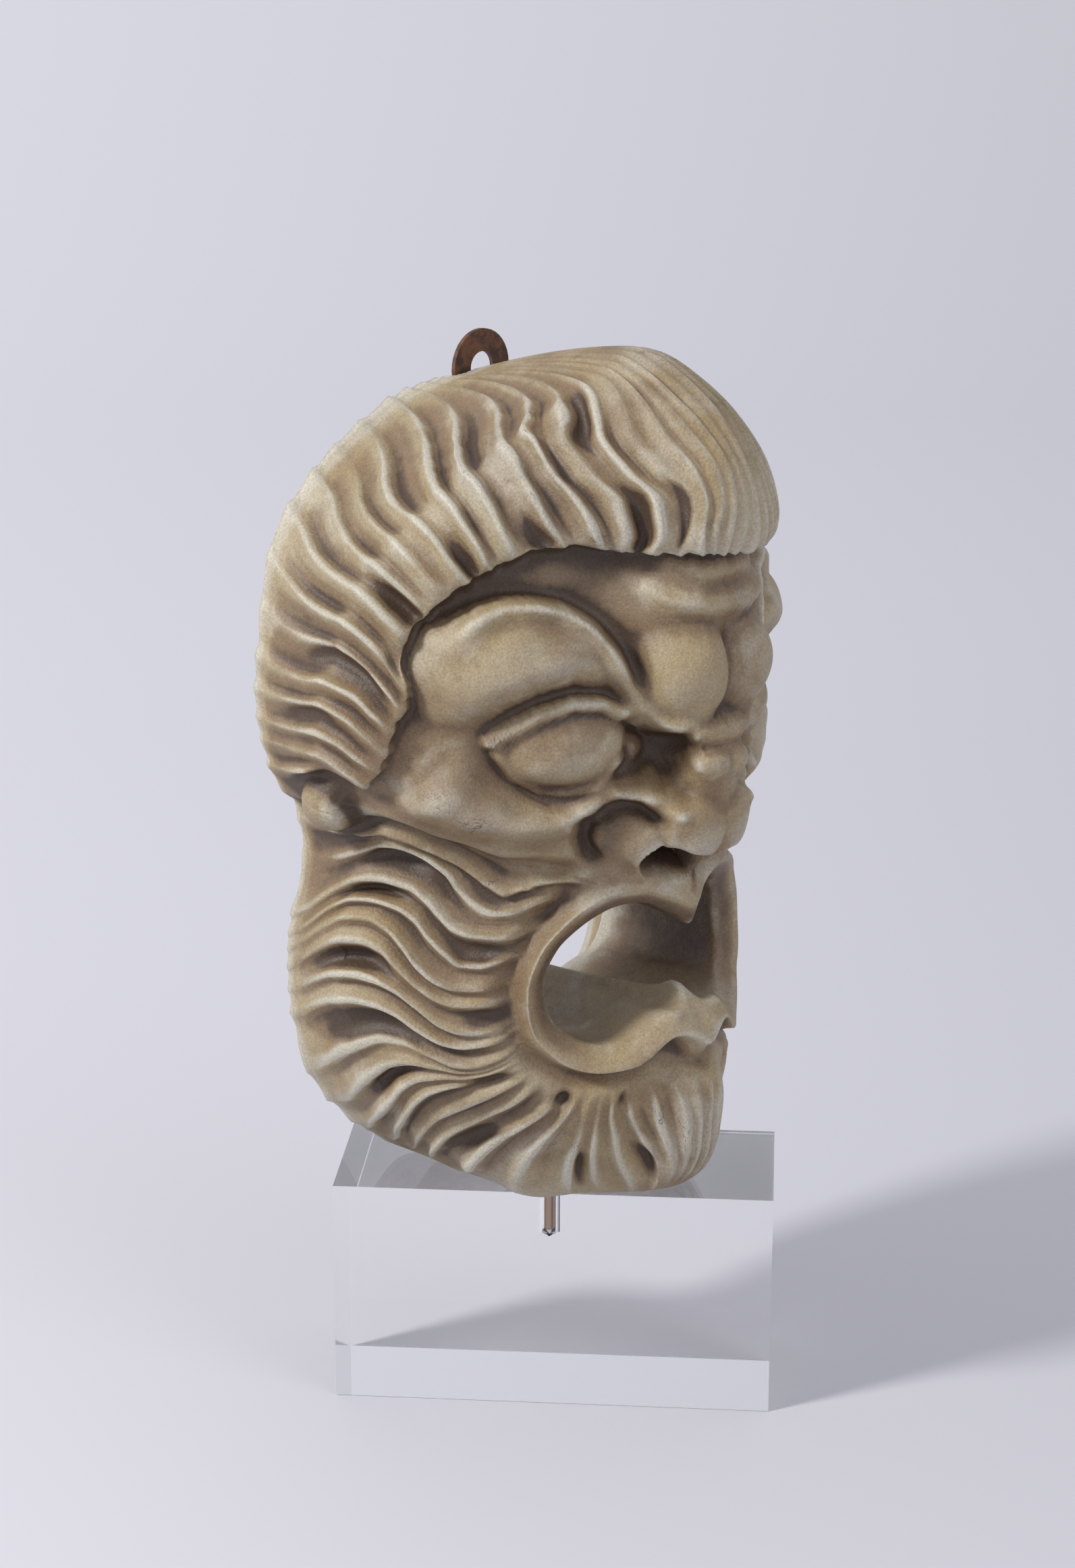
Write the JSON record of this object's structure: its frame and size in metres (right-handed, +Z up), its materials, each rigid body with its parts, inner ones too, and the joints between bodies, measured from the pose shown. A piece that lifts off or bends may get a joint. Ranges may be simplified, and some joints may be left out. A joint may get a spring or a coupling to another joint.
{
  "type": "carved theatre mask on a stand",
  "caption": "Carved marble theatre mask with gaping trumpet mouth, knotted brows, wavy hair and curled beard, on a pin in a clear block.",
  "frame": {"origin": "centre of the pin's axis on the underside of the block", "axes": "+Z up, -Y the way the mask faces, -X the mask's own right side; the block is turned 51 degrees about Z against the mask"},
  "size_m": [0.2654, 0.2143, 0.4865],
  "materials": {
    "marble": "aged carved marble, warm beige patina, paler worn crests, dark hollows",
    "rusty_steel": "rust brown forged steel",
    "pin_metal": "dull coppery rod",
    "clear_acrylic": "clear polished acrylic"
  },
  "bodies": {
    "root": {"marble_mask": "marble", "hanging_plate": "rusty_steel", "mounting_pin": "pin_metal", "acrylic_block": "clear_acrylic"}
  },
  "joints": []
}
